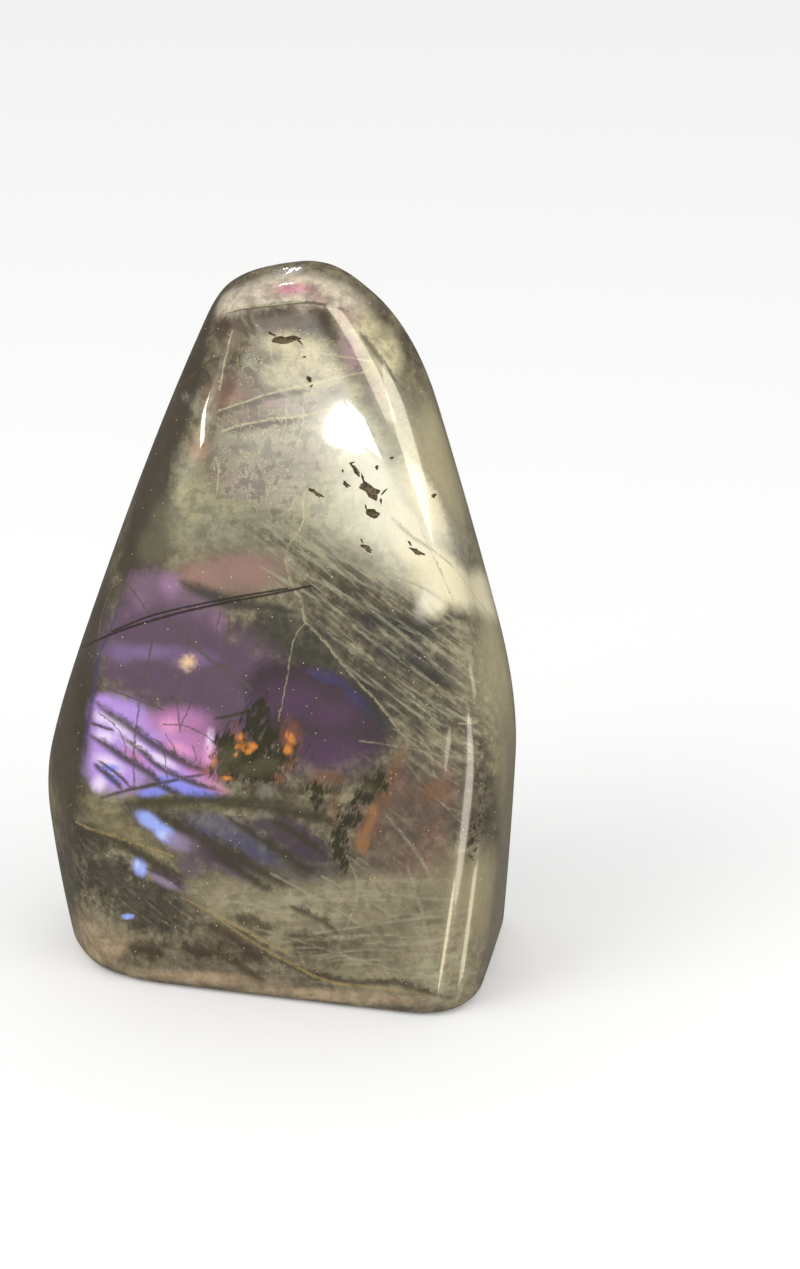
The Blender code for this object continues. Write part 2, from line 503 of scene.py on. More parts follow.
def lineCover(place, fuzz, soft, fray, halfWidth, *numbers):
    # a thin sheet through the stone, seen as a line drawn through points of the front:
    # a curve holds how far the line lies to the side, and leaps far away past its ends
    points = [Vector(frontPoint(across, up)) for across, up in zip(numbers[0::2], numbers[1::2])]
    along = (points[-1] - points[0]).normalized()
    aside = Vector(skinNormal(np.array(points[len(points) // 2]))).cross(along).normalized()
    stops = [(point.dot(along), point.dot(aside)) for point in points]
    way = vectorMaths("DOT_PRODUCT", place, tuple(along))
    node = newNode(place, "FloatCurve")
    feed(node.inputs["Value"], way)
    mapping = node.mapping
    mapping.use_clip = False
    curve = mapping.curves[0]
    far, leap = lineShape["far"], lineShape["leap"]
    curve.points[0].location = (stops[0][0] - leap, far)
    curve.points[1].location = (stops[-1][0] + leap, far)
    for stop in stops:
        curve.points.new(*stop)
    last = len(curve.points) - 1
    for number, held in enumerate(curve.points):
        held.handle_type = "VECTOR" if number in (0, 1, last - 1, last) else "AUTO_CLAMPED"
    mapping.update()
    side = vectorMaths("DOT_PRODUCT", place, tuple(aside))
    away = maths("ABSOLUTE", maths("SUBTRACT", side, node.outputs[0]))
    away = maths("MULTIPLY_ADD", fuzz, fray * halfWidth, away)
    if halfWidth > lineShape["taperFrom"]:
        centre, halfLength = (stops[-1][0] + stops[0][0]) / 2, (stops[-1][0] - stops[0][0]) / 2
        share = maths("MULTIPLY_ADD", way, 1 / halfLength, -centre / halfLength)
        share = maths("POWER", share, lineShape["taperPower"])
        away = maths("MULTIPLY_ADD", share, lineShape["taper"] * halfWidth, away)
    return ranged(away, (1 + soft) * halfWidth, (1 - soft) * halfWidth)


# the stone's colours, from the lowest layer up. A family is one colour in many places:
# colour, strength, softness of the edge, how frayed it is, depth in mm, and its spots, each of
# them across, up, half length, half height (mm) and turn (degrees)
# stains, and some painted reflection and sheen, as noted beside them
bodyStainsAndSheen = {
    "lowerBody": ((118, 107, 84), 0.6, 0.5, 0.8, 30, [(-4, 11.4, 24.7, 10.3, 0),
        (19.2, 14.1, 17.8, 11.8, 2)]),
    "rightFaceDark": ((128, 121, 92), 0.8, 0.5, 1.6, 6, [(18.1, 99.8, 4.8, 2.9, 89),
        (13.1, 105.9, 3.1, 1.7, -53), (23, 92.1, 2.9, 2.1, 16), (14.4, 102.4, 5, 2.1, -75)]),
    # paler rim and cap: partly their own pale tone, partly painted reflection of the bright surroundings
    "rimRightAndReflection": ((214, 202, 162), 0.85, 0.5, 1, 6, [(13.3, 107.9, 5.3, 3.2, -65),
        (17.2, 103.1, 4.7, 2.8, 56), (8.5, 112, 3.6, 2.2, -23)]),
    "capTintAndReflection": ((216, 202, 180), 0.92, 0.4, 0.8, 8, [(1.8, 112.2, 12.5, 3.4, 4),
        (-9.4, 110.1, 4.6, 3.1, 26)]),
    "capMauve": ((160, 130, 124), 0.75, 0.7, 1.2, 5, [(-1.3, 112.2, 2.9, 1.5, 6),
        (5.3, 111.2, 3.7, 1.2, -38), (9.9, 108.5, 2.2, 1.4, -51)]),
    "capPink": ((226, 150, 168), 0.85, 0.7, 0.6, 4, [(0.9, 112.7, 2.3, 1, 8)]),
    "brownTop": ((84, 70, 58), 0.95, 0.5, 1.8, 9, [(-4.8, 106.6, 3.6, 1.9, 3), (0, 107.8, 4.2, 1.9, 3),
        (5.4, 108, 2.8, 1.7, 1), (-10.4, 105.1, 3.4, 1.8, 16), (0.3, 105.3, 2.9, 1.6, 3)]),
    "roseLeft": ((116, 94, 80), 0.9, 0.5, 1.6, 9, [(-5.9, 96.6, 5.4, 3.1, 8), (-3.6, 92.6, 4.8, 1.9, 11),
        (-7.3, 85.1, 4, 3.5, -85)]),
    "orangeTouch": ((168, 126, 100), 0.8, 0.7, 1.8, 9, [(-6.9, 96.1, 2.1, 1.1, 17),
        (-11.5, 87.8, 2.2, 1.6, -75)]),
    "creamMiddle": ((200, 188, 150), 0.9, 0.45, 2.2, 9, [(0.5, 104, 3.5, 1.9, 3),
        (4.1, 102.4, 4.1, 2.8, 2), (7.8, 99.8, 3.8, 2.2, 3), (0.9, 99.5, 3.2, 1.9, 3),
        (4.6, 97.9, 3.8, 1.9, 3), (12.5, 97.8, 1.9, 1.3, 1)]),
    "yellowPatch": ((190, 178, 124), 0.8, 0.5, 2.4, 9, [(-11.3, 80.9, 3.9, 2.2, 4),
        (-6.1, 79.4, 2.3, 1.2, 4), (-12.6, 78, 2.6, 1.3, 5)]),
    "mauveTouch": ((176, 140, 152), 0.65, 0.7, 1.4, 9, [(4.4, 95.2, 3.2, 1.2, 3), (8, 93.6, 2.2, 1.9, 1),
        (16.2, 97.3, 2.2, 1.8, -34), (11.3, 103, 3.5, 1.6, -78), (-0.2, 95.8, 2.2, 0.9, 3)]),
    "silverSheen": ((172, 166, 146), 0.85, 0.6, 1.6, 12, [(11.9, 89.1, 12.3, 11.1, -16),
        (3.5, 85.7, 11.1, 7.1, -15), (20.7, 79.4, 7.8, 7.1, -21), (24.9, 76, 6.2, 5.6, 61)]),
    "oliveHaze": ((150, 147, 122), 0.75, 0.5, 2.2, 9, [(-9.6, 78.2, 10, 5.3, -7), (-16.2, 82.5, 7, 4, 34),
        (2.8, 75.3, 9.6, 3.7, -3)]),
    "roseGrey": ((152, 136, 132), 0.55, 0.6, 1.6, 9, [(0.9, 85.9, 4.8, 3.1, 3), (-3.9, 82.8, 2.9, 1.9, 4),
        (6.8, 86.3, 3.7, 2.5, -85)]),
    "brownRight": ((106, 90, 78), 0.92, 0.45, 1.2, 8, [(24.6, 32.8, 8.2, 5.5, 88),
        (26.9, 37.9, 6.6, 5.7, 77), (22.4, 26.5, 5, 3.2, 20)]),
    "redBrown": ((128, 98, 84), 0.65, 0.6, 1.8, 8, [(30.9, 39.2, 3.3, 1.9, 90),
        (29.4, 30.9, 3.3, 1.9, -82), (27.1, 26.4, 3.6, 2.3, 19), (18.1, 32.2, 2.7, 2.2, 78),
        (23.3, 37.5, 2.6, 1.9, 86)]),
    "slateBand": ((80, 74, 74), 0.85, 0.5, 1.2, 9, [(4.3, 24.2, 11.4, 4.1, -1), (22.4, 63.6, 6.3, 1.9, -3),
        (26.1, 58.2, 6.9, 2.2, -15)]),
    "darkLowLeft": ((70, 65, 56), 0.9, 0.4, 2, 9, [(-30.4, 22.4, 7.8, 3.9, 27), (-25, 18.1, 4.6, 3.9, 13),
        (-34.6, 14, 10.5, 4.9, 30), (-17.5, 14, 8.3, 4.5, -5)]),
    "tanBand": ((130, 120, 88), 0.9, 0.45, 1.8, 9, [(-35.8, 28.1, 12.3, 3.3, 25),
        (-27.4, 29.2, 5.4, 2.5, -13), (-21.4, 25.5, 5.2, 2.1, -18), (-9.3, 32.5, 15, 1.3, 4),
        (-17.5, 23, 3.6, 1.2, -19)]),
    "paleLow": ((158, 147, 118), 0.75, 0.5, 2, 12, [(30.6, 10, 7.4, 6.8, -20), (12.6, 17.6, 15, 4, 17),
        (0.2, 17, 8.4, 4.4, 9), (-5.8, 17, 5.3, 2.4, -2), (21, 5.8, 6, 2, 2)]),
    "lowSpots": ((84, 74, 56), 0.75, 0.4, 2.6, 9, [(-18.6, 6.1, 3.8, 1.5, 9), (-9.2, 7.7, 3.4, 1.5, 9),
        (-12.6, 12.8, 2.7, 1.2, 9), (9.4, 10.9, 4.3, 1.6, -3), (-1.6, 7.7, 4.9, 1.6, -8),
        (0, 12.8, 3.2, 1.4, -13)]),
    "rimGlow": ((172, 150, 120), 0.8, 0.5, 0.8, 5, [(-26.4, 4.4, 6.5, 2.4, 30), (-9, 2.5, 11.8, 1.2, 3),
        (12.8, 2.1, 14.8, 1.1, 3), (-31, 3.6, 8.8, 3.9, 31)]),
    "paleColumn": ((150, 148, 128), 0.55, 0.6, 2.2, 6, [(1.8, 33.5, 4.2, 1.3, 88), (1.3, 27, 4.4, 0.7, 89)]),
    "paleBlock": ((160, 158, 128), 0.6, 0.4, 1, 9, [(28.9, 8.1, 2.4, 2.1, 88)]),
}

# laid over the mottling: labradorescent flashes, and painted light: shade, lit sides, reflections, sheen and
# a glint
flashesAndPaintedLight = {
    "leftShade": ((66, 58, 48), 0.9, 0.3, 0.5, 7, [(-20.6, 78.4, 22, 6.2, -70), (-32.9, 45.1, 27, 9, -80),
        (-15.8, 97.6, 16.4, 4, -70)]),
    # a paler right side: partly its own tone, partly painted light on the side facing the lamps
    "rightFacePaleAndLit": ((206, 194, 152), 0.62, 0.5, 0.9, 9, [(25.8, 86.3, 9.4, 4.6, 74),
        (34.7, 60.3, 9.7, 7.8, 47), (26.4, 85.3, 9.3, 7, 81), (35.8, 55.5, 15.8, 8.5, 1)]),
    "rightFaceLowPaleAndLit": ((180, 168, 130), 0.6, 0.4, 0.7, 12, [(38.4, 25.7, 24.8, 7.4, -62),
        (37.5, 10.8, 40, 7.4, -31), (38.8, 43, 12.3, 7.4, -35)]),
    # a pale cream tone along the right ridge, partly a painted reflection of a soft light
    "creamPatchAndReflection": ((250, 238, 200), 0.92, 0.45, 0.9, 7, [(23.1, 77.4, 5.9, 2.8, -61),
        (28, 73.2, 4.7, 2.2, -33), (30.8, 69.8, 6.7, 3.4, -34), (33.5, 64.4, 12.1, 3.6, -26),
        (27.8, 68.4, 2.8, 2.2, -88), (24.8, 82.3, 6.2, 2.4, -71), (33.7, 63.7, 6.7, 2.9, -26)]),
    "leftOlive": ((114, 109, 88), 0.65, 0.6, 1.4, 7, [(-18.3, 72.6, 3.6, 3.2, 10), (-16.8, 77, 3.2, 3, 10)]),
    # a pale milky tone near the lamp's reflection, partly painted sheen of its glow
    "hazeSheenCore": ((244, 240, 216), 0.75, 0.9, 1.8, 9, [(17.6, 84, 5, 4, -15), (20.5, 79, 6.5, 3.4, -20)]),
    "roseShade": ((108, 90, 76), 0.6, 0.6, 2, 9, [(-3.6, 92.4, 4.4, 1.5, 8), (-6.9, 97, 3.4, 1.9, 5),
        (-7.4, 103.3, 3, 1.9, 2), (-3.4, 106.4, 4.4, 1.5, 3)]),
    "greenBlack": ((64, 62, 54), 0.8, 0.5, 1.4, 9, [(2, 59.9, 5, 2.1, -14), (8.6, 57.3, 5.4, 2.5, -19)]),
    "roseBand": ((146, 122, 108), 0.8, 0.5, 1.4, 9, [(-4.4, 69.4, 8.1, 3.4, 5), (-1, 70.8, 5.8, 2.8, 5),
        (-2.9, 69.2, 6.5, 2.2, 5)]),
    "roseBright": ((172, 128, 122), 0.5, 0.8, 1.4, 9, [(-2.7, 70.1, 3.5, 1.9, -4),
        (-9.5, 68.7, 3.9, 1.9, 5)]),
    "violetTop": ((132, 106, 126), 0.85, 0.5, 1.4, 9, [(-18, 65.7, 5.2, 3.5, 9),
        (-11.2, 63.6, 5.5, 2.9, -4), (-20.2, 61.4, 4, 2.2, 10)]),
    "violetBright": ((176, 130, 172), 0.6, 0.8, 1.6, 9, [(-14.6, 66.7, 1.9, 1.5, 89),
        (-19.3, 63.1, 1.9, 1.4, -88), (-6.8, 61.5, 1.9, 1.3, 89)]),
    "purpleField": ((100, 78, 98), 0.95, 0.35, 0.9, 9, [(-15.1, 56, 12.8, 8.5, -3),
        (-5.1, 51.3, 10.2, 9.4, 41), (-20, 53.6, 7, 2.9, 7)]),
    "lilacBand": ((136, 112, 158), 0.7, 0.8, 1.4, 9, [(-18.6, 56.1, 6.3, 1.1, 6),
        (-22.5, 55.6, 2.1, 1.5, -2), (-10.9, 55.8, 3.3, 1.3, 6)]),
    "deepViolet": ((68, 54, 62), 0.95, 0.35, 0.8, 9, [(10.6, 51.2, 9.9, 4.8, -4), (4.6, 52.9, 6.5, 4.2, 8),
        (17.8, 46.5, 4.2, 3.5, 15), (10.7, 45.3, 8.1, 4.2, 7), (16.6, 48.2, 3.7, 3.4, 47),
        (5.9, 47.2, 5.1, 4.7, 46)]),
    "violetMiddle": ((96, 66, 98), 0.65, 0.8, 1, 9, [(5.8, 50.7, 4.9, 2.6, 7), (12.4, 49, 4.2, 2.2, 7),
        (12, 42.4, 6.5, 3.3, 7)]),
    "brightViolet": ((190, 152, 230), 0.96, 0.4, 0.9, 9, [(-21.9, 44.4, 5.5, 3.8, -15),
        (-24.4, 40.3, 7.3, 3.4, 88), (-23.4, 36.5, 5, 4.1, -2), (-15.6, 38.3, 7.4, 3.1, -22),
        (-15.1, 41.3, 4.9, 2.7, -12), (-24.9, 46.5, 2.3, 2.1, -5)]),
    "pinkGlow": ((196, 130, 186), 0.85, 0.6, 0.9, 9, [(-10.8, 41.7, 4.6, 3.4, -8),
        (-7.9, 41.6, 3.6, 2, 88), (-12.7, 45.3, 5, 2.3, 7), (-8.8, 37.6, 3.2, 1.5, -13),
        (-20, 38.8, 2.6, 1, -24)]),
    "whiteGlow": ((244, 224, 255), 0.9, 0.7, 1, 9, [(-22.9, 43.8, 2.7, 1, -26), (-25.1, 41.6, 1.5, 1, -9),
        (-7.4, 42.1, 2.3, 0.7, -90), (-24.4, 37.2, 2.3, 1.1, -24), (-20, 40.8, 2.6, 0.7, -22),
        (-26.1, 33.6, 1.4, 1.1, 59), (-25.6, 44.7, 1.3, 0.9, -10), (-15.6, 38.8, 2.6, 0.7, -22)]),
    "pinkBright": ((238, 160, 206), 0.75, 0.8, 1.2, 9, [(-14.2, 44.5, 1.5, 1.3, 21),
        (-7.6, 40.1, 2, 1, 89), (-6.9, 35, 2.3, 0.9, -14), (-12.7, 41, 2, 0.9, -13)]),
    "blueLow": ((140, 146, 244), 0.92, 0.5, 1, 9, [(-16.8, 33.2, 2.7, 0.8, 11), (-10.2, 34.1, 3.6, 1, -3),
        (-13.6, 35.2, 3, 1, -8), (-24.4, 36.4, 1.7, 0.7, 7), (-23.9, 34.6, 1.6, 0.7, -24)]),
    "fadedBlue": ((78, 77, 110), 0.7, 0.7, 1.2, 9, [(-5.4, 29.1, 4.9, 1.5, -8),
        (-2.9, 26.9, 4.9, 1.4, -14), (-8.3, 27.5, 3.6, 1.6, -13), (0.7, 24.8, 2.9, 1.4, -19),
        (-2, 27.2, 4.2, 1.4, -14)]),
    "blueFlash": ((160, 178, 252), 0.96, 0.45, 0.9, 9, [(-17.6, 28.4, 2.4, 1.3, -29),
        (-15, 26.6, 2.4, 1.4, -32), (-19.2, 20.4, 1.6, 1.2, -70), (-21.3, 11.6, 1.2, 0.5, 10)]),
    "blueWhite": ((204, 214, 255), 0.8, 0.7, 0.8, 9, [(-15.3, 26.2, 1, 0.7, -27),
        (-19.5, 20.6, 1, 0.5, -66)]),
    "lilacPale": ((150, 130, 160), 0.85, 0.5, 0.9, 9, [(-12.1, 25.4, 2.6, 1.6, -6),
        (-14.6, 18.7, 2.9, 1.2, -18)]),
    "mauveLow": ((100, 82, 94), 0.85, 0.45, 1.2, 9, [(-6.8, 23.8, 4.2, 2.1, -15),
        (-2.9, 21.8, 3.6, 1.6, -15), (-10.7, 21.4, 2.3, 1.8, -20)]),
    "violetLow": ((76, 62, 72), 0.9, 0.45, 1.2, 9, [(5.6, 29, 4.2, 2.4, -7), (8.6, 26.9, 3.6, 2.4, -6),
        (2.8, 29.7, 4.3, 1.3, -1), (-5.4, 23.5, 3.9, 1.4, -14)]),
    "deepBlueGlow": ((74, 66, 120), 0.6, 0.9, 0.6, 6, [(16.5, 51.7, 2.5, 0.8, -36),
        (11.1, 54.7, 2.8, 0.6, -17)]),
    # a painted highlight on the right ridge
    "combHighlight": ((236, 232, 214), 0.6, 0.8, 2.2, 6, [(26.7, 67.5, 2.3, 1.4, 72)]),
    # a painted glint with its warm halo
    "starGlintHalo": ((150, 112, 116), 0.6, 0.9, 0.8, 6, [(-11.3, 55.2, 1.5, 1.4, 38)]),
    "starGlint": ((240, 206, 160), 0.95, 0.7, 3.6, 4, [(-11.3, 55.2, 1.15, 1.05, 38)]),
}

inclusions = {
    "orangeHalo": ((150, 92, 60), 0.75, 0.9, 1.6, 5, [(-2.8, 43.3, 2, 1.5, 84), (5.7, 44.5, 2.3, 1.5, 87),
        (-6.4, 40.2, 2, 0.8, 89), (-4.8, 37.2, 1.7, 0.8, 8), (3.5, 37.8, 1.2, 0.8, 11),
        (5.1, 40.8, 1.5, 1.4, 48), (-7.9, 37.9, 1, 0.9, 46)]),
    "rustGlow": ((122, 86, 60), 0.7, 0.8, 1.8, 5, [(22.6, 41, 3.7, 0.9, 74), (21, 36.1, 3, 1.1, 67),
        (18.4, 30.4, 2.7, 1.6, 66), (12, 38.8, 2.6, 1, -4), (10.3, 37.4, 1.7, 1.3, 83),
        (13.3, 33.5, 2.3, 1, -80), (29.2, 38.1, 2.3, 1.6, 10)]),
    "darkGrains": ((52, 50, 32), 0.96, 0.5, 3.2, 6, [(-0.1, 46.6, 3.3, 1.9, 80), (0.8, 49.1, 1.5, 0.8, 89),
        (-4.3, 42, 3, 2.1, 85), (-5.8, 43, 1.4, 1.2, -77), (0, 41.2, 5.3, 2.6, 8), (-3.6, 38.4, 3, 1.6, 8),
        (4.5, 41.6, 2.2, 1.9, 27), (2.1, 43.8, 3, 1.6, 79), (0.9, 38.3, 3.6, 1.5, 7),
        (19.8, 38.4, 2.2, 1.7, 43), (18, 36.1, 2, 1.3, 37), (15.6, 32.5, 2.1, 1.8, -83),
        (13.7, 28.7, 3, 1.3, 90), (10.2, 36.5, 1.5, 1.1, 13), (14.6, 25.7, 2.3, 0.8, -90),
        (10.2, 35, 1.7, 0.8, 89)]),
    "greenGrains": ((98, 96, 68), 0.5, 0.6, 2.8, 5, [(-4.3, 40.7, 1.7, 1.3, 15), (0, 38.8, 2.7, 1, 7),
        (-5.5, 38.5, 1.3, 1, 13), (18.9, 37.7, 1, 0.8, 39), (1.8, 40.2, 1.7, 0.8, 8)]),
    "orangeGlints": ((228, 142, 58), 0.88, 0.6, 1.7, 5, [(-2.7, 43.9, 0.72, 0.54, 86),
        (-2.8, 42.2, 0.62, 0.45, 84), (-1.1, 41.7, 0.62, 0.54, 47), (-0.2, 42.5, 0.62, 0.45, 84),
        (5.4, 42.6, 0.89, 0.62, -83), (5.5, 44.9, 0.72, 0.54, 86), (6.1, 44.2, 0.62, 0.45, 85),
        (-1.2, 42.7, 0.62, 0.35, 87), (-6.7, 39.3, 0.89, 0.35, 89), (-4.7, 36.9, 0.72, 0.35, 8),
        (-3.2, 40.9, 0.45, 0.35, 76)]),
    "amber": ((164, 112, 62), 0.7, 0.7, 1.8, 5, [(18.8, 31.6, 2.4, 0.6, 70), (17.6, 28.5, 1.5, 1, 78),
        (19.3, 34.1, 1.4, 0.5, 71)]),
}

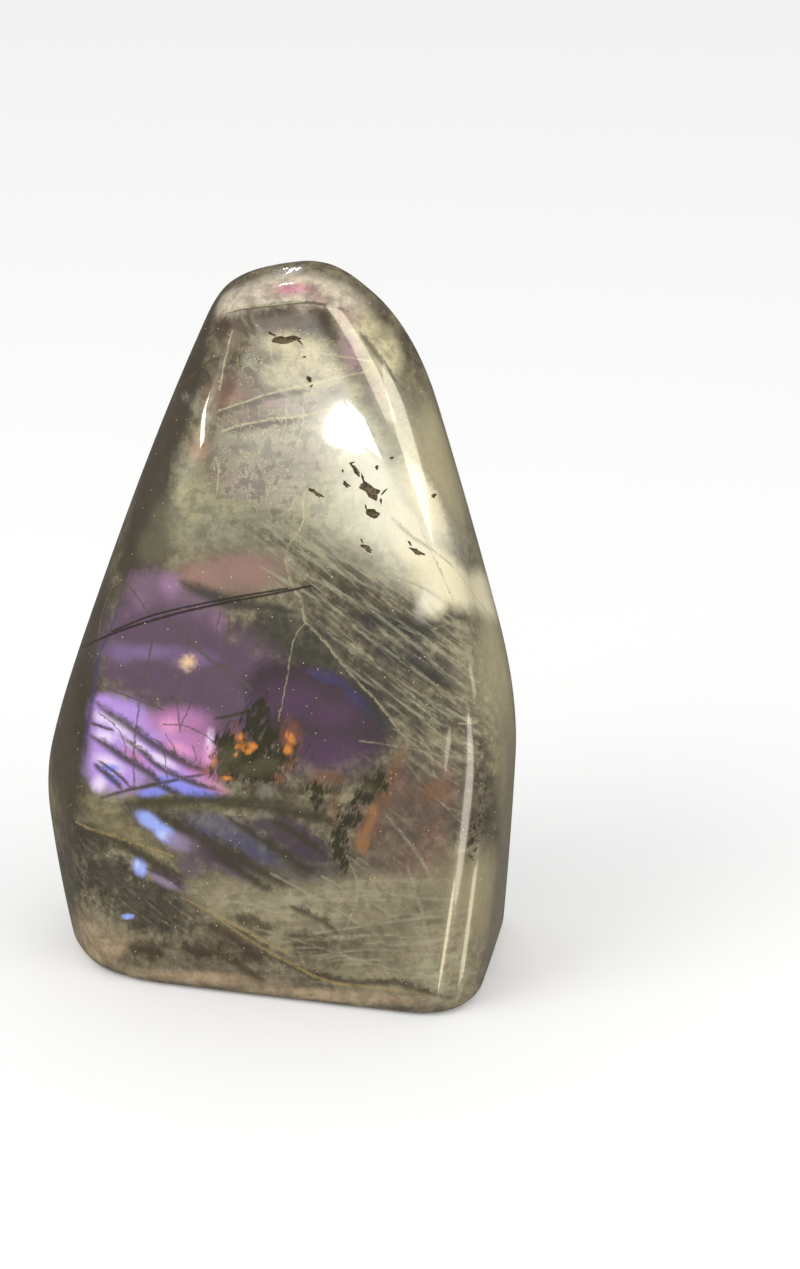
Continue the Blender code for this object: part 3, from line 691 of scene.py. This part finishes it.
# colour, strength, softness, fray, and lines, each of them a half width and then the points
# that it runs through, as across, up, across, up ... in millimetres
veins = {
    "darkVeins": ((66, 60, 46), 0.88, 0.95, 2, [
        (0.75, -27.6, 47.4, -24.4, 45.6, -20, 43.2, -16.6, 41.1, -11.7, 38.8, -6.4, 37.2),
        (0.5, -23.1, 42.3, -19, 39.9, -15.6, 37.4, -10.7, 35.7, -4.5, 34.5),
        (0.65, -28.4, 41.7, -24.9, 40.2, -21.4, 38.2, -18, 36.6, -14.6, 34.1, -10.2, 32.7),
        (0.5, -27.4, 37, -24.9, 35.4, -21.4, 32.6), (0.3, -26.6, 37.6, -23.3, 35.8, -20, 33),
        (0.25, -27.9, 43.6, -23.3, 42.7), (0.25, -7.2, 46.3, -4.1, 47.2, -0.1, 48.6),
        (0.3, -26.9, 30.8, -20, 33.5, -14.1, 35.4, -6.9, 37.6),
        (1.1, -23.9, 30.2, -16.5, 31.6, -8.8, 32.8, -2, 33.3, 7.5, 33.6),
        (0.9, -9.1, 31.7, -1.8, 32.8, 4.9, 32.6, 10.9, 31.7, 15.2, 31),
        (1.1, -18, 30.3, -13.1, 28.4, -8.7, 26.2, -2.9, 24, 2.4, 21.4, 7.7, 19.6),
        (0.9, -26.4, 25.4, -21.5, 23.6, -16.5, 21.2, -12.6, 18.9, -11.2, 17.4),
        (0.7, -5.4, 30.9, 3.2, 26.3, 11.1, 22), (0.8, -9.1, 26.5, -2.3, 21.7, 3.8, 18.4),
        (0.6, 1.9, 31.1, 7.4, 28.6, 12.2, 25.5)]),
    "darkPatches": ((60, 59, 52), 0.8, 0.95, 1.8, [(2.6, -0.6, 64.6, 4.2, 62.2, 9.6, 60.3, 14.5, 57.3),
        (1.6, 13.3, 57.8, 17.6, 53.5, 20.7, 49.1, 23.1, 46.4),
        (1, -13.7, 67.9, -9.4, 66.5, -5.6, 65.4, 0.1, 65, 6.7, 64.2),
        (0.7, -9.7, 67.3, -3.6, 65.2, 2.3, 64.8, 8.3, 64.1), (1.2, 15.9, 64.8, 22.4, 63.6, 28.8, 61.8),
        (1, 18.5, 60.5, 26.2, 57.1, 32.1, 54.1)]),
    "greyVeins": ((92, 84, 76), 0.75, 0.7, 1.6, [
        (0.3, -16.9, 64.5, -14.9, 61.9, -9, 56.9, -2.3, 52.9, 1.1, 50.5),
        (0.16, -16.8, 61.1, -17.9, 54.7, -19.3, 47.5, -20, 42.2, -20.2, 33),
        (0.13, -12.8, 52.9, -13, 49.1, -12.4, 43.5), (0.13, -8.9, 51.9, -10.8, 48.4, -12.3, 44.7),
        (0.15, -16.1, 47.1, -14.7, 48.5, -13.1, 49.2), (0.12, -11.1, 62.7, -11.5, 56.3),
        (0.12, -6.2, 64, -6.7, 60.8, -7.2, 57.6), (0.12, -4.8, 63.7, -4.8, 58.7),
        (0.18, -26.5, 50, -20, 48.3, -15.1, 47), (0.12, -15.6, 44.6, -10.8, 44.6, -6, 42.2),
        (0.12, -26.6, 45.7, -22.4, 42.4, -21.4, 37.7), (0.16, -25.1, 66.6, -20.5, 64.9, -16.8, 61.1),
        (0.12, -15.1, 43.2, -13.7, 41.4, -13.2, 39.1), (0.12, -10.3, 41.8, -9.8, 39),
        (0.14, -17.5, 42.5, -15.6, 41.2, -14.6, 35.6)]),
    "twinLines": ((48, 42, 36), 0.9, 0.5, 0.5, [(0.17, -24.7, 58.3, -15.9, 62.6, -5.6, 65.6, 4.6, 68.1),
        (0.2, -32.7, 52.2, -21.7, 59.5, -15.4, 62, -6.5, 64.8, 1.9, 67, 8.4, 68.8)]),
    "topLines": ((84, 74, 58), 0.8, 0.7, 1.6, [(0.28, -10.3, 107, -3.2, 109.1, 3.2, 110, 10.5, 109.2),
        (0.6, -9.4, 92.8, -0.2, 96.3, 6.1, 97.5), (0.55, -7.8, 90.3, -1.8, 92.1, 5.1, 93.2),
        (0.35, -13.8, 98.6, -8.9, 101.3, -2.8, 101.5), (0.3, -17.9, 95, -13.7, 98.4),
        (0.5, 11.7, 106, 15.4, 101.9, 18.6, 97.9)]),
    "greenStrokes": ((152, 154, 134), 0.6, 0.8, 1.8, [(0.4, -7.1, 108.2, -5.6, 106.3, -3.8, 103.7),
        (0.5, -5.4, 108.3, -3.8, 106.2, -2, 103.4), (0.28, -4, 110.9, -2.3, 109.6, -0.5, 107.3),
        (0.3, -1.7, 110.8, 0.6, 108.9), (0.72, -17.4, 94.1, -13.1, 93.7, -9.2, 91.7),
        (0.88, -9.8, 92.3, -4.5, 89.2, 0.7, 87.5, 5.9, 85.3, 10.6, 81.9), (0.5, -6.3, 102, -3.2, 100.6),
        (0.72, -3.2, 101.1, 0.1, 98.5, 2.3, 96.4, 4.4, 95.2), (0.5, -1.3, 102.1, 1.4, 99.5, 5.6, 97.5),
        (0.28, -5.8, 101.8, -0.3, 97.2), (0.3, -8.7, 85.8, -8.1, 88.1, -7.5, 90)]),
    "yellowCracks": ((208, 198, 154), 0.75, 0.95, 3.6, [
        (0.15, -8.9, 93.6, -6, 94.7, -0.3, 96.8, 8.4, 99.1, 14.4, 100.4),
        (0.16, -8.1, 90.7, -4.7, 91.9, 0.1, 93, 5, 93.8, 9.3, 95.1),
        (0.12, -9.7, 107.4, -3.3, 109.2, 3.2, 110.2), (0.12, 6, 102.9, 11.9, 102.2, 14.6, 101.6),
        (0.1, 1.9, 96.4, 2.1, 92.6, 1.4, 89.6), (0.1, 4.6, 96.1, 4.9, 92.5, 4.3, 88.9),
        (0.12, -8.8, 87.1, -7.9, 85.3, -8, 81.2), (0.14, 5.8, 77, 6.4, 79.3, 5.7, 82.1),
        (0.14, -7.9, 105.6, -8.5, 102, -9, 96.2)]),
    "paleFibres": ((160, 157, 130), 0.62, 0.9, 2.4, [(0.21, 4.4, 75, 14.8, 72.5, 25.4, 69.9, 31.3, 66.2),
        (0.18, 6.1, 70.7, 15.8, 67, 25.9, 62.7, 35.2, 55, 37.3, 44.1),
        (0.21, 5.7, 67.9, 14.2, 63.5, 23.8, 58, 32.2, 53),
        (0.18, 7.1, 64.1, 15.6, 59.1, 24, 54.6, 33.4, 50.1),
        (0.24, 10.2, 60.9, 18.7, 54.2, 27.6, 51.5, 35.5, 49.3),
        (0.15, 12.4, 73.9, 20.8, 69.6, 28.7, 64.6, 34.3, 59.9),
        (0.18, 20, 79.9, 24.9, 76.4, 30.6, 71.3, 34.8, 58.8), (0.3, 26.9, 77.3, 31, 72.1, 33.6, 63.1),
        (0.15, 22.3, 63.8, 28.3, 61.8, 33.9, 59.5), (0.3, 25.5, 68.8, 31.5, 64.1, 34.7, 59.7),
        (0.15, 24.7, 78.5, 28.3, 72.2, 30.6, 67.8), (0.2, 34.8, 60.1, 35.7, 55.7, 35.4, 50.5),
        (0.3, 16.9, 56.3, 26.5, 50.2, 32.4, 48.4),
        (0.27, -1, 71.3, 5.7, 68.5, 12.9, 65.1, 18.4, 62.1), (0.25, 7.7, 73.6, 15, 70.3, 23.3, 67.5),
        (0.15, 28.6, 55, 34.4, 51.8, 37.8, 44.7), (0.3, 11, 68.9, 20, 64.5, 27.2, 59.4, 31.5, 55.2),
        (0.15, 24.1, 42.7, 29.2, 37.5, 33.8, 32.8), (0.3, 20.8, 34.3, 27.1, 27, 29.9, 21.8),
        (0.15, 16.7, 45.2, 24.3, 44.8, 32.5, 43.7), (0.2, 24.2, 48.9, 27.9, 45.1, 29.2, 40.5),
        (0.24, -0.4, 15.4, 16.5, 20.4, 24.9, 20.4, 32.9, 20.2),
        (0.21, 8.8, 12.1, 16.6, 14.2, 25, 16.4, 35.7, 18.1),
        (0.21, -0.4, 12.3, 8.2, 10.8, 16.7, 8.9, 32.9, 6.3),
        (0.21, 11.1, 22.3, 20.2, 18.3, 27.4, 14.2, 35.3, 5.1), (0.21, 2.6, 21.9, 12.3, 17.5, 21.4, 12.9),
        (0.25, 24.8, 26.2, 27.3, 19.1, 29.2, 10.6), (0.18, 15.2, 26.4, 17.1, 20.5, 15.4, 14.1),
        (0.3, -7.2, 16.5, 3.3, 16.4, 11.1, 19.2), (0.15, 9.4, 8.4, 20.3, 10.9, 29.8, 10.6)]),
    "tanFracture": ((178, 166, 132), 0.75, 0.9, 3.4, [
        (0.22, 6.9, 83.4, 6.5, 81.2, 6, 77.4, 3.9, 73.4, 4.7, 69.5, 6.7, 66.3, 7.5, 63),
        (0.19, 7.4, 63.3, 10.2, 60.9, 12.7, 58.3, 15.8, 55.1, 19.4, 51.9, 23.4, 47.3),
        (0.11, 7.7, 63.3, 5.8, 60, 5, 54.2, 3.8, 47), (0.16, 32.3, 49.3, 35.5, 49.3)]),
    "goldVein": ((168, 146, 92), 0.75, 0.95, 3.6, [
        (0.22, -30.9, 26.2, -22.9, 24.9, -17.5, 23.8, -13.4, 22.8),
        (0.26, -13.1, 16.4, -8.7, 14.7, -4.8, 13.1, 2.9, 9.7, 7.8, 7.8),
        (0.26, -9, 15, -1, 10.3, 6.4, 6.8, 11.3, 4.9, 20.4, 4.4, 29.8, 4.1)]),
    "brownBands": ((66, 55, 42), 0.75, 0.9, 2.4, [(0.9, -21.6, 6.3, -18.6, 6.1, -15.1, 5.7),
        (0.9, -12.6, 7.8, -8.7, 6.8, -4.8, 8), (1.1, -9, 12.2, -4.1, 10.6, 1.5, 6.2),
        (0.6, 2.1, 8.2, 9.4, 5.6, 16.7, 4.9, 25.2, 5.5, 32.9, 2.8), (0.7, -7.8, 7.6, -2.8, 5.7, 2.1, 3.1),
        (0.6, 5.7, 16.7, 11.2, 14.9, 14.2, 12.7), (0.5, -18.5, 20.5, -14.1, 19, -11.6, 17.1),
        (0.5, -4.8, 12.2, -0.9, 10.5, 3, 8.2)]),
    "deepBlue": ((68, 64, 106), 0.6, 1, 0.8, [(0.56, 8, 56.4, 13.4, 54.6, 17.1, 52, 19.2, 49, 21.6, 46.9),
        (0.4, -23.2, 64.2, -24.8, 58.7, -26.7, 54.3, -27.4, 47.9, -28.4, 41.6, -28.9, 35.8),
        (0.4, -2.6, 44.5, -1.3, 48.9, -0.3, 50.3)]),
    # a thin pale line along the left edge
    "edgeLine": ((158, 146, 122), 0.7, 0.6, 3, [(0.09, -25.4, 65.3, -27.5, 60, -27.3, 56.1)]),
}


# where a texture shows: softness, fray, depth in mm, and spots as above
zones = {
    "fibreZone": (0.6, 1.2, 12, [(22, 60, 17, 13, -32), (33, 52, 12, 6, 80), (10, 70, 12, 6, -25)]),
    "crackleZone": (0.6, 1.6, 9, [(3, 92.5, 10, 4.5, 5), (2, 101, 9, 4.5, 0), (2, 84, 12, 6, -15)]),
    # where the pale painted sheen around the lamp's reflection is laid
    "hazeSheenZone": (0.8, 1.4, 12, [(16.5, 80.5, 9, 6, -18), (22, 76, 8, 5, -30), (13, 90, 5, 5, 0)]),
    "lowHazeZone": (0.6, 1.6, 14, [(18, 13, 20, 10, 0), (28, 9, 8, 8, 0)]),
    "cornerSpecks": (0.5, 0.8, 6, [(36.6, 17, 7, 1.2, 80), (36.9, 38, 2, 0.8, 85), (35.5, 31, 5, 1.5, 80)]),
}

stoneFinish = {
    "bodyDark": (90, 82, 67),
    "bodyMiddle": (112, 103, 84),
    "bodyPale": (138, 129, 103),
    "backViolet": (88, 78, 104),    # a guess at the unseen back
    "fibreTone": (164, 160, 132),
    "fibreShade": (82, 78, 66),
    # a pale milky tone, partly painted sheen around the lamp's reflection
    "hazeSheenTone": (230, 226, 196),
    "crackleTone": (222, 212, 168),
    "paleSpeck": (238, 224, 178),
    "darkSpeck": (40, 37, 28),
    "pluckedDark": (92, 78, 54),
    "pluckedPale": (150, 134, 104),
    "pluckedRoughness": 0.75,
    "speckScale": 1.3,             # the specks' cells to a millimetre
    "mottling": (0.76, 1.22),      # how much darker and lighter the grains are
    "grain": (0.96, 1.04),
    "roughness": (0.21, 0.25),
    "coatRoughness": 0.035,
    "coatRefraction": 1.5,
    "refraction": 1.56,
    "scratchDepth": 0.003,         # mm
    "scratchStrength": 0.5,
}


# uneven fields in the stone: grains to a millimetre, detail, roughness, distortion; the drawn
# out ones begin with the turn of their fibres (degrees) and how far they are drawn out
clouds = {
    "broad": (0.07, 5, 0.62, 0.4),
    "small": (0.5, 4, 0.65),
    "grit": (1.1, 5, 0.7),
    "plucked": (2.5, 4, 0.65),
}
fibreClouds = {
    "slanting": (-34, 9, 1.1, 5, 0.7),
    "crossing": (8, 10, 0.9, 5, 0.7),
    "spikes": (70, 3, 1.5, 4, 0.7),
    "comb": (80, 22, 5.2, 3, 0.6),
}


def fibres(where, name):
    turn, stretch, *settings = fibreClouds[name]
    return cloud(drawnOut(where, turn, stretch), *settings)


def shifted(place, amount, way):
    # the place moved along a way by an uneven amount
    node = newNode(place, "VectorMath")
    node.operation = "SCALE"
    node.inputs[0].default_value = way
    feed(node.inputs["Scale"], amount)
    return vectorMaths("ADD", place, node.outputs[0])


def shaded(colour, lightness):
    node = newNode(colour, "HueSaturation")
    feed(node.inputs["Value"], lightness)
    feed(node.inputs["Color"], colour)
    return node.outputs[0]


def laid(colour, cover, strength, toneName):
    return over(maths("MULTIPLY", cover, strength), colour, tone(*stoneFinish[toneName]))


def laidWithin(colour, zone, field, low, high, strength, toneName):
    # laid in one zone, and more and more as a field goes from low to high
    cover = maths("MULTIPLY", zone, ranged(field, low, high))
    return laid(colour, cover, strength, toneName)


def layFamilies(colour, families, fuzz):
    for name, (named, strength, soft, fray, *_) in families.items():
        share = maths("MULTIPLY", spotCover(fuzz, name, soft, fray), strength)
        colour = over(share, colour, tone(*named))
    return colour


def layLines(colour, names, place, fuzz, shown):
    for name in names:
        named, strength, soft, fray, lines = veins[name]
        cover = 0.0
        for line in lines:
            cover = maths("MAXIMUM", lineCover(place, fuzz, soft, fray, *line), cover)
        share = maths("MULTIPLY", cover, shown)
        share = maths("MULTIPLY", share, strength)
        colour = over(share, colour, tone(*named))
    return colour


def stoneColour(shader):
    # clouds read the object's own place, and lines a copy of it held by the mesh in millimetres;
    # no value is made to change its kind on the way, so that few are held at once
    finish = stoneFinish
    coordinates = newNode(shader, "TexCoord")
    where = coordinates.outputs["Object"]
    held = newNode(shader, "Attribute")
    held.attribute_name = "stonePlace"
    place = held.outputs["Vector"]
    axes = newNode(shader, "SeparateXYZ")
    feed(axes.inputs[0], place)
    front = ranged(axes.outputs["Y"], 16.0, 11.0)
    broad = cloud(where, *clouds["broad"])
    small = cloud(where, *clouds["small"])
    grit = cloud(where, *clouds["grit"])
    colour = over(ranged(maths("MULTIPLY_ADD", small, 0.5, broad), 0.60, 0.80),
                  tone(*finish["bodyDark"]), tone(*finish["bodyMiddle"]))
    colour = over(ranged(maths("MULTIPLY_ADD", small, 0.5, broad), 0.70, 0.92),
                  colour, tone(*finish["bodyPale"]))
    back = ranged(axes.outputs["Y"], 11.0, 16.0)
    colour = laidWithin(colour, back, broad, 0.50, 0.36, 0.32, "backViolet")
    fuzz = maths("MULTIPLY_ADD", small, 0.5, -0.5)
    fuzz = maths("MULTIPLY_ADD", grit, 0.5, fuzz)
    fray = maths("MULTIPLY_ADD", grit, 1.0, -0.5)
    colour = layFamilies(colour, bodyStainsAndSheen, fuzz)

    # fibres drawn out to the lower right, crossing ones low on the right, and fine combing
    slanting = fibres(where, "slanting")
    zone = zoneCover(fuzz, "fibreZone")
    colour = laidWithin(colour, zone, slanting, 0.50, 0.38, 0.75, "fibreShade")
    colour = laidWithin(colour, zone, slanting, 0.50, 0.64, 0.8, "fibreTone")
    colour = laid(colour, ranged(slanting, 0.55, 0.72), 0.35, "fibreTone")
    crossing = fibres(where, "crossing")
    zone = zoneCover(fuzz, "lowHazeZone")
    colour = laidWithin(colour, zone, crossing, 0.50, 0.64, 0.5, "fibreTone")
    colour = laid(colour, ranged(crossing, 0.52, 0.38), 0.2, "bodyDark")
    # a pale milky tone, partly painted sheen around the lamp's reflection
    hazeSheen = zoneCover(fuzz, "hazeSheenZone")
    colour = laid(colour, hazeSheen, 0.7, "hazeSheenTone")
    low, high = finish["mottling"]
    blend = maths("MULTIPLY_ADD", grit, 0.4, -0.2)
    blend = maths("ADD", blend, small)
    colour = shaded(colour, ranged(blend, 0.34, 0.66, low, high))

    colour = layFamilies(colour, flashesAndPaintedLight, fuzz)
    lively = maths("MULTIPLY", front, ranged(slanting, 0.40, 0.58, 0.25, 1.0))
    near = shifted(place, fray, (0.5, 0.0, 0.9))
    near = shifted(near, fuzz, (1.0, 0.0, -0.5))
    lowest = ("deepBlue", "darkPatches", "darkVeins", "brownBands", "topLines")
    colour = layLines(colour, lowest, near, fray, front)
    colour = layLines(colour, ("greenStrokes", "paleFibres"), near, fray, lively)
    colour = layLines(colour, ("greyVeins",), near, fray, front)
    broken = maths("MULTIPLY", front, ranged(grit, 0.40, 0.54, 0.3, 1.0))
    colour = layLines(colour, ("tanFracture", "goldVein"), near, fray, broken)

    # crinkled pale threads, and specks of light and dark grains
    thread = maths("ABSOLUTE", maths("SUBTRACT", small, 0.5))
    thread = ranged(thread, 0.022, 0.004)
    zone = zoneCover(fuzz, "crackleZone")
    colour = laid(colour, maths("MULTIPLY", thread, zone), 0.5, "crackleTone")
    colour = layLines(colour, ("yellowCracks", "edgeLine"), near, fray, broken)
    spikes = fibres(where, "spikes")
    spikes = maths("MULTIPLY_ADD", spikes, 1.6, -0.8)
    colour = layFamilies(colour, inclusions, spikes)
    colour = layLines(colour, ("twinLines",), place, fray, front)
    speckPlace = drawnOut(where, 0, 1)
    specks = newNode(shader, "TexVoronoi")
    setValues(specks, {"Scale": stoneFinish["speckScale"]})
    feed(specks.inputs["Vector"], speckPlace)
    lot = newNode(shader, "SeparateColor")
    feed(lot.inputs[0], specks.outputs["Color"])
    dot = ranged(specks.outputs["Distance"], 0.16, 0.08)
    colour = laidWithin(colour, dot, lot.outputs[0], 0.86, 0.90, 0.8, "paleSpeck")
    colour = laidWithin(colour, dot, lot.outputs[0], 0.05, 0.03, 0.8, "darkSpeck")
    zone = zoneCover(fuzz, "cornerSpecks")
    colour = laidWithin(colour, zone, grit, 0.50, 0.44, 0.9, "darkSpeck")

    comb = fibres(where, "comb")
    low, high = finish["grain"]
    colour = shaded(colour, ranged(comb, 0.3, 0.7, low, high))
    return colour, comb


def stoneMaterial():
    material, shader = newMaterial("polishedLabradorite")
    colour, comb = stoneColour(shader)
    feed(shader.inputs["Base Color"], colour)
    low, high = stoneFinish["roughness"]
    feed(shader.inputs["Roughness"], ranged(comb, 0.35, 0.65, low, high))
    setValues(shader, {
        "IOR": stoneFinish["refraction"],
        "Coat Weight": 1.0,
        "Coat Roughness": stoneFinish["coatRoughness"],
        "Coat IOR": stoneFinish["coatRefraction"],
    })
    bump = newNode(shader, "Bump")
    depth = stoneFinish["scratchDepth"] * mm
    setValues(bump, {"Strength": stoneFinish["scratchStrength"], "Distance": depth})
    feed(bump.inputs["Height"], comb)
    feed(shader.inputs["Normal"], bump.outputs[0])
    return material


def pluckedMaterial():
    material, shader = newMaterial("pluckedStone")
    coordinates = newNode(shader, "TexCoord")
    grain = cloud(coordinates.outputs["Object"], *clouds["plucked"])
    dark, pale = (tone(*stoneFinish[name]) for name in ("pluckedDark", "pluckedPale"))
    colour = over(ranged(grain, 0.35, 0.65), dark, pale)
    feed(shader.inputs["Base Color"], colour)
    setValues(shader, {"Roughness": stoneFinish["pluckedRoughness"]})
    return material


# pits where grains were plucked out of the polish: across, up, length, width, turn, depth
pits = {
    "long": (0.8, 104.5, 5.6, 1.7, 14, 0.8),
    "hairline": (11.6, 90.3, 2.6, 0.3, 62, 0.3),
    "round": (5.2, 99.1, 1.5, 1.2, -25, 0.6),
    "underLong": (4.1, 102.2, 1.1, 0.5, 20, 0.3),
    "zigzag": (13.8, 86.4, 3.0, 0.9, -50, 0.6),
    "great": (16.6, 83.6, 5.4, 2.4, -31, 1.0),
    "upperChip": (17.2, 86.9, 1.4, 0.8, 60, 0.4),
    "upperDot": (19.3, 88.3, 0.9, 0.6, 0, 0.3),
    "side": (12.6, 84.2, 1.9, 1.0, -26, 0.5),
    "slash": (8.0, 82.6, 4.2, 0.9, -26, 0.5),
    "wedge": (17.2, 80.1, 3.8, 2.0, -4, 0.9),
    "brown": (24.6, 75.0, 3.1, 1.2, -24, 0.6),
    "low": (16.7, 74.9, 2.8, 1.1, -24, 0.5),
    "edgeChip": (25.9, 82.5, 1.3, 1.0, 10, 0.4),
}
# narrow arms that run out of them, cut after them because they overlap
pitArms = {
    "longTail": (3.2, 104.3, 2.6, 0.5, -42, 0.4),
    "longSpur": (-1.4, 105.2, 2.2, 0.6, -24, 0.4),
    "roundTail": (5.7, 98.1, 0.8, 0.5, 40, 0.3),
    "zigzagArm": (13.2, 87.3, 1.6, 0.4, 24, 0.4),
    "greatArm": (15.2, 85.2, 2.0, 0.5, -68, 0.5),
    "greatSpur": (18.6, 83.4, 2.0, 0.5, 52, 0.4),
    "greatFoot": (18.3, 82.1, 1.2, 0.5, -80, 0.4),
    "sideDash": (11.9, 86.1, 1.0, 0.4, -75, 0.3),
    "wedgeTip": (16.0, 81.0, 1.3, 0.5, -70, 0.4),
    "brownTail": (23.3, 76.2, 1.6, 0.5, -55, 0.4),
    "lowTip": (15.8, 76.0, 1.2, 0.4, -60, 0.3),
}
pitShape = {"corners": 13, "raggedness": (0.5, 1.2), "floor": 0.65, "rise": 0.5, "seed": 11}


def addPit(cutter, draw, across, up, length, width, turn, depth):
    point = frontPoint(across, up)
    turned = frameAt(point, turn).to_4x4()
    local = Matrix.Translation(Vector(toModel(point))) @ turned
    corners, floorShare, rise = pitShape["corners"], pitShape["floor"], pitShape["rise"]
    mouth, floor = [], []
    for number in range(corners):
        angle = 2 * math.pi * (number + draw.uniform(-0.3, 0.3)) / corners
        share = draw.uniform(*pitShape["raggedness"])
        x = math.cos(angle) * share * length / 2 * mm
        y = math.sin(angle) * share * width / 2 * mm
        mouth.append(cutter.verts.new(local @ Vector((x, y, rise * mm))))
        deep = -depth * draw.uniform(0.8, 1.0) * mm
        floor.append(cutter.verts.new(local @ Vector((x * floorShare, y * floorShare, deep))))
    top = cutter.verts.new(local @ Vector((0, 0, rise * mm)))
    bottom = cutter.verts.new(local @ Vector((0, 0, -depth * mm)))
    for number in range(corners):
        after = (number + 1) % corners
        cutter.faces.new((mouth[number], mouth[after], top))
        cutter.faces.new((floor[after], floor[number], bottom))
        cutter.faces.new((floor[number], mouth[after], mouth[number]))
        cutter.faces.new((floor[number], floor[after], mouth[after]))


def cutPits(stone, draw, group, plucked):
    # the stone's mesh with one group of pits cut out of it
    cutter = bmesh.new()
    for pit in group.values():
        addPit(cutter, draw, *pit)
    bmesh.ops.recalc_face_normals(cutter, faces=cutter.faces)
    cutterMesh = bpy.data.meshes.new("pitCutter")
    cutter.to_mesh(cutterMesh)
    cutter.free()
    cutterMesh.materials.append(plucked)
    tool = linked("pitCutter", cutterMesh)
    cut = stone.modifiers.new("pits", "BOOLEAN")
    cut.operation = "DIFFERENCE"
    cut.solver = "EXACT"
    cut.material_mode = "TRANSFER"
    cut.object = tool
    shown = bpy.context.evaluated_depsgraph_get()
    finished = bpy.data.meshes.new_from_object(stone.evaluated_get(shown))
    stone.modifiers.clear()
    bpy.data.objects.remove(tool)
    return finished


def makeStone():
    columns, rings = stoneShape["mesh"]
    mesh = bpy.data.meshes.new("labradoriteStone")
    mesh.from_pydata(toModel(skinPoints(columns, rings)).tolist(), [], skinFaces(columns, rings))
    mesh.materials.append(stoneMaterial())
    stone = linked("labradoriteStone", mesh)
    draw = random.Random(pitShape["seed"])
    plucked = pluckedMaterial()
    for group in (pits, pitArms):
        finished = cutPits(stone, draw, group, plucked)
        stone.data = finished
    finished.shade_smooth()
    finished.set_sharp_from_angle(angle=math.radians(stoneShape["sharpAngle"]))
    addPlaceField(finished)
    for families in (bodyStainsAndSheen, flashesAndPaintedLight, inclusions, zones):
        for name, (*_, depth, spots) in families.items():
            addSpotField(finished, name, depth, spots)
    return stone


stone = makeStone()
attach(stone, "root")
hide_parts("labradorite")
print("stone: made, faces", len(stone.data.polygons))
